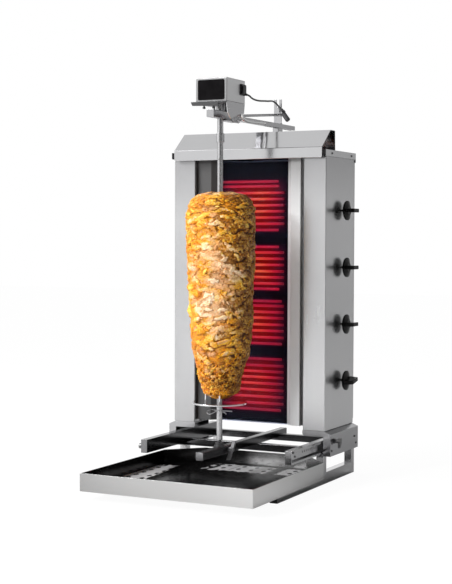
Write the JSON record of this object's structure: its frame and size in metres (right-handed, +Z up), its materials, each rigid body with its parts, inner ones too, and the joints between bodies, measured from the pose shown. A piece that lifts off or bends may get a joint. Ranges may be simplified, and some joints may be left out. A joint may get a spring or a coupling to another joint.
{
  "type": "doner kebab grill",
  "caption": "Upright electric spit grill: tall glass-fronted heater body, a meat-laden spit turned by a motor on a sliding top arm, a sliding lower carriage and a pull-out drip tray.",
  "frame": {"origin": "middle of the underside of the base frame's front cross-member, on the floor, straight below the front plane of the heater body", "axes": "+Z up, +X to the knob side, +Y to the back"},
  "size_m": [0.6229, 0.919, 1.2915],
  "materials": {
    "frame_steel": "brushed stainless tube",
    "body_steel": "brushed stainless sheet, vertical grain",
    "hood_steel": "brushed stainless sheet, long grain",
    "tray_steel": "stainless sheet, brushed outside and bright inside",
    "rail_steel": "stainless channel",
    "arm_steel": "stainless tube and plate",
    "spit_steel": "polished stainless bar",
    "zinc": "plain steel fasteners",
    "pan_steel": "mill-finish sheet",
    "black_glass": "dark glass ceramic",
    "heater_wire": "glowing heater bars",
    "insulation": "pressed ceramic fibre",
    "switch_plastic": "switch body",
    "knob_plastic": "black phenolic",
    "black_plastic": "black plastic",
    "cord_rubber": "black flexible lead",
    "plate_black": "blank black plate",
    "motor_iron": "gear motor",
    "meat": "roasted stacked meat"
  },
  "bodies": {
    "housing": {"base_frame": "frame_steel", "frame_end_caps": "black_plastic", "rail_housing_left": "frame_steel", "rail_housing_right": "frame_steel", "column_left": "body_steel", "column_right": "body_steel", "back_panel": "body_steel", "glass_strip_left": "body_steel", "glass_strip_right": "body_steel", "ceramic_glass": "black_glass", "heater_zone_1": "heater_wire", "heater_zone_2": "heater_wire", "heater_zone_3": "heater_wire", "heater_zone_4": "heater_wire", "insulation_board": "insulation", "heater_pan": "pan_steel", "regulator_1": "switch_plastic", "regulator_2": "switch_plastic", "regulator_3": "switch_plastic", "regulator_4": "switch_plastic", "terminal_block": "switch_plastic", "cable_gland": "black_plastic", "top_cover": "hood_steel", "hood": "hood_steel", "body_screws": "zinc", "arm_guide": "arm_steel"},
    "carriage": {"slide_rail_left": "rail_steel", "slide_rail_right": "rail_steel", "rail_bolts": "zinc", "cross_bar_front": "rail_steel", "cross_bar_rear": "rail_steel", "centre_arm": "arm_steel", "bearing_cup": "arm_steel"},
    "spit": {"spit_rod": "spit_steel", "spit_sleeve": "spit_steel", "disc_plate": "spit_steel", "meat_cone": "meat", "r_clip": "spit_steel"},
    "upper_arm": {"upper_tube": "arm_steel", "upper_bar": "arm_steel", "motor_bracket": "arm_steel", "motor_case": "hood_steel", "motor_cover": "hood_steel", "blank_plate": "plate_black", "gear_motor": "motor_iron", "motor_plug": "black_plastic", "handle_rod": "spit_steel", "fork_post": "arm_steel", "inline_connector": "black_plastic", "motor_cord": "cord_rubber", "motor_screws": "zinc"},
    "drive": {"drive_shaft": "spit_steel"},
    "knob_one": {"knob_1": "knob_plastic"},
    "knob_two": {"knob_2": "knob_plastic"},
    "knob_three": {"knob_3": "knob_plastic"},
    "knob_four": {"knob_4": "knob_plastic"},
    "lever": {"lock_lever": "arm_steel"},
    "clamp": {"clamp_screw": "zinc"},
    "tray": {"drip_tray": "tray_steel", "tray_plates": "tray_steel"}
  },
  "joints": [
    {"name": "carriage_slide", "type": "slide", "parent": "housing", "child": "carriage", "axis": [0, 1, 0], "range_m": [-0.1, 0.08]},
    {"name": "spit_spin", "type": "hinge", "parent": "carriage", "child": "spit", "pos_m": [0, -0.205, 0.3], "axis": [0, 0, 1], "continuous": true},
    {"name": "arm_slide", "type": "slide", "parent": "housing", "child": "upper_arm", "axis": [0, 1, 0], "range_m": [-0.1, 0.08]},
    {"name": "drive_spin", "type": "hinge", "parent": "upper_arm", "child": "drive", "pos_m": [0, -0.205, 1.2], "axis": [0, 0, 1], "continuous": true},
    {"name": "knob_1_turn", "type": "hinge", "parent": "housing", "child": "knob_one", "pos_m": [0.295, 0.14, 0.8864], "axis": [-1, 0, 0], "range_deg": [-180, 120]},
    {"name": "knob_2_turn", "type": "hinge", "parent": "housing", "child": "knob_two", "pos_m": [0.295, 0.14, 0.7002], "axis": [-1, 0, 0], "range_deg": [-180, 120]},
    {"name": "knob_3_turn", "type": "hinge", "parent": "housing", "child": "knob_three", "pos_m": [0.295, 0.14, 0.5138], "axis": [-1, 0, 0], "range_deg": [-180, 120]},
    {"name": "knob_4_turn", "type": "hinge", "parent": "housing", "child": "knob_four", "pos_m": [0.295, 0.14, 0.3284], "axis": [-1, 0, 0], "range_deg": [-169, 131]},
    {"name": "lever_swing", "type": "hinge", "parent": "carriage", "child": "lever", "pos_m": [0.018, -0.165, 0.1225], "axis": [-1, 0, 0], "range_deg": [0, 35]},
    {"name": "clamp_turn", "type": "hinge", "parent": "housing", "child": "clamp", "pos_m": [0.3, 0.03, 0.1424], "axis": [1, 0, 0], "range_deg": [0, 180]},
    {"name": "tray_slide", "type": "slide", "parent": "housing", "child": "tray", "axis": [0, -1, 0], "range_m": [0, 0.28]}
  ],
  "couplings": [
    {"joint": "arm_slide", "follows": "carriage_slide", "ratio": 1},
    {"joint": "drive_spin", "follows": "spit_spin", "ratio": 1}
  ]
}
